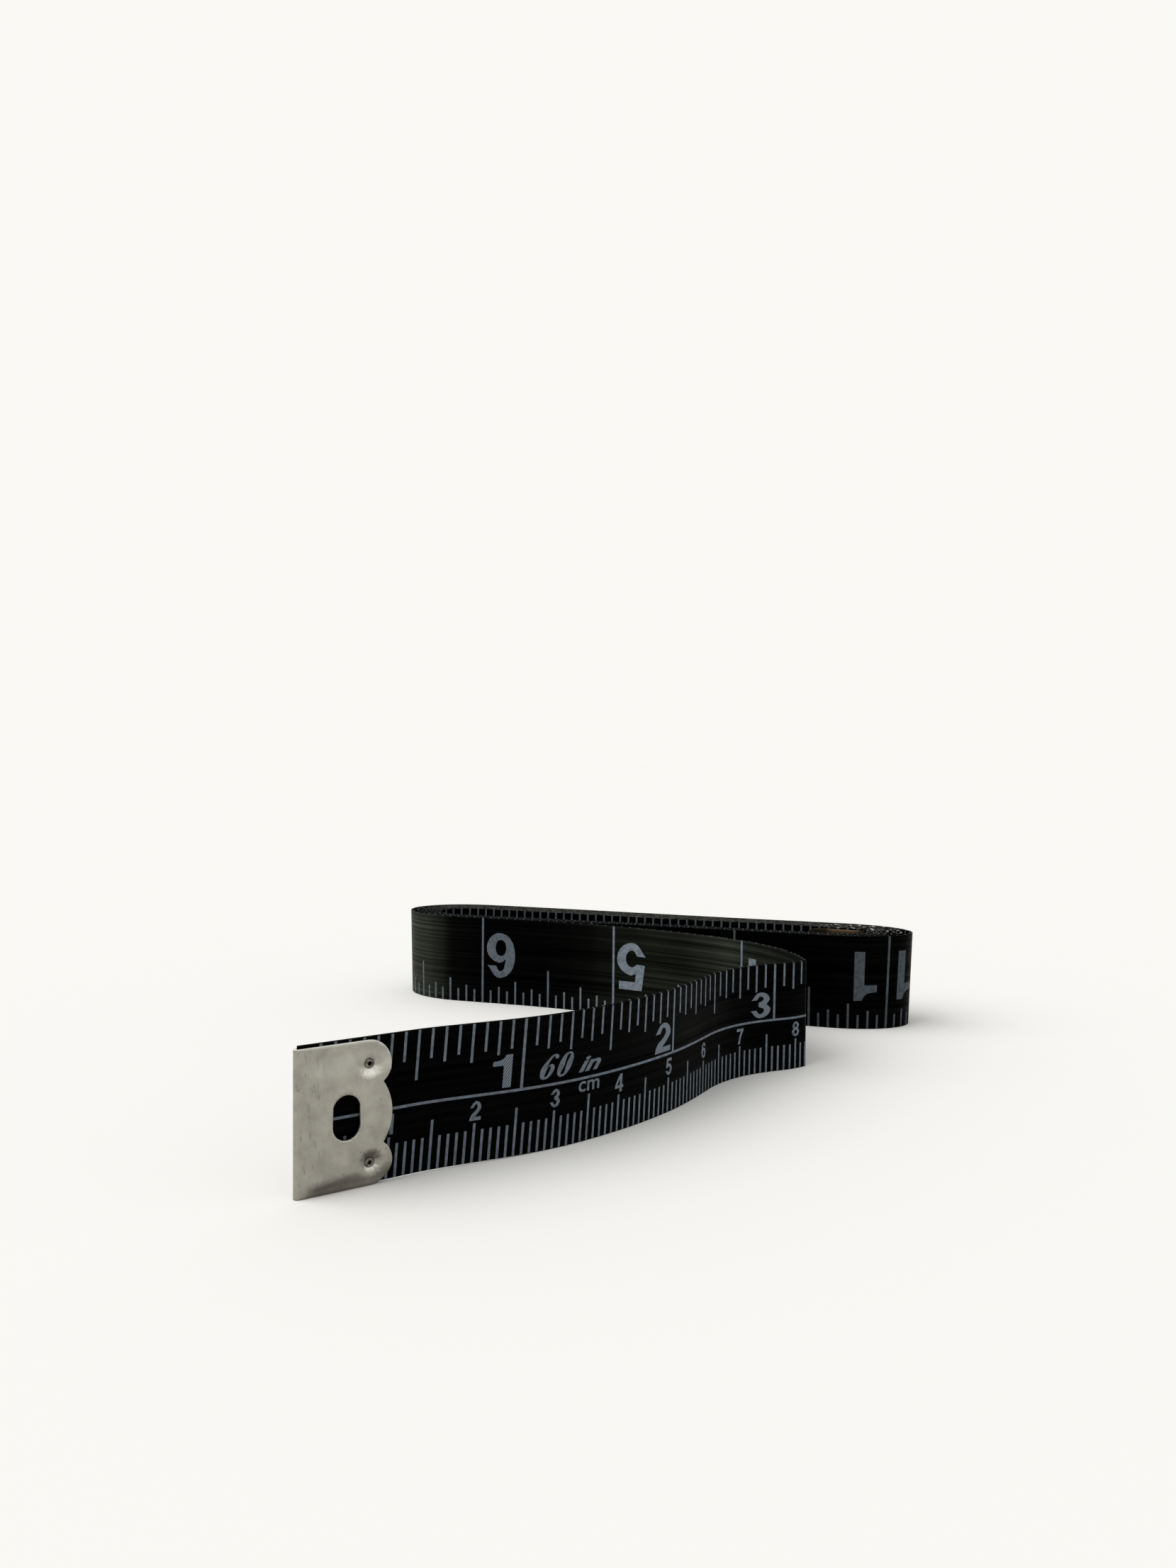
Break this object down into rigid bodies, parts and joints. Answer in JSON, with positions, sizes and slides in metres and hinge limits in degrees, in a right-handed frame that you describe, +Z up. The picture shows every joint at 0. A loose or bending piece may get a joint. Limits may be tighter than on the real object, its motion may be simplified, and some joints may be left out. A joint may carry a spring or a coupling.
{
  "type": "soft tape measure",
  "caption": "Soft coated-fibre tape measure wound as a flat hank on its edge, its free end drawn out and creased, with a riveted metal tip at each end.",
  "frame": {"origin": "middle of the footprint, on the surface that the tape stands on", "axes": "+Z up along the tape's width; +X along the hank's long side; the free end lies towards -Y, which is the front"},
  "size_m": [0.0922, 0.1114, 0.0155],
  "materials": {
    "coated_tape": "satin black plastic coating over woven fibre, printed in pale grey",
    "nickel_sheet": "dull nickel plate with handling marks",
    "rivet_metal": "dull nickel plate"
  },
  "bodies": {
    "hank": {"tape_hank": "coated_tape", "tape_return": "coated_tape", "tip_rear": "nickel_sheet", "rivet_rear_upper": "rivet_metal", "rivet_rear_lower": "rivet_metal"},
    "lead": {"tape_lead": "coated_tape", "tip_front": "nickel_sheet", "rivet_front_upper": "rivet_metal", "rivet_front_lower": "rivet_metal"}
  },
  "joints": [
    {"name": "crease_swing", "type": "hinge", "parent": "hank", "child": "lead", "pos_m": [0.03278, 0.01345, 0.0077], "axis": [0, 0, 1], "range_deg": [-70, 70]}
  ]
}
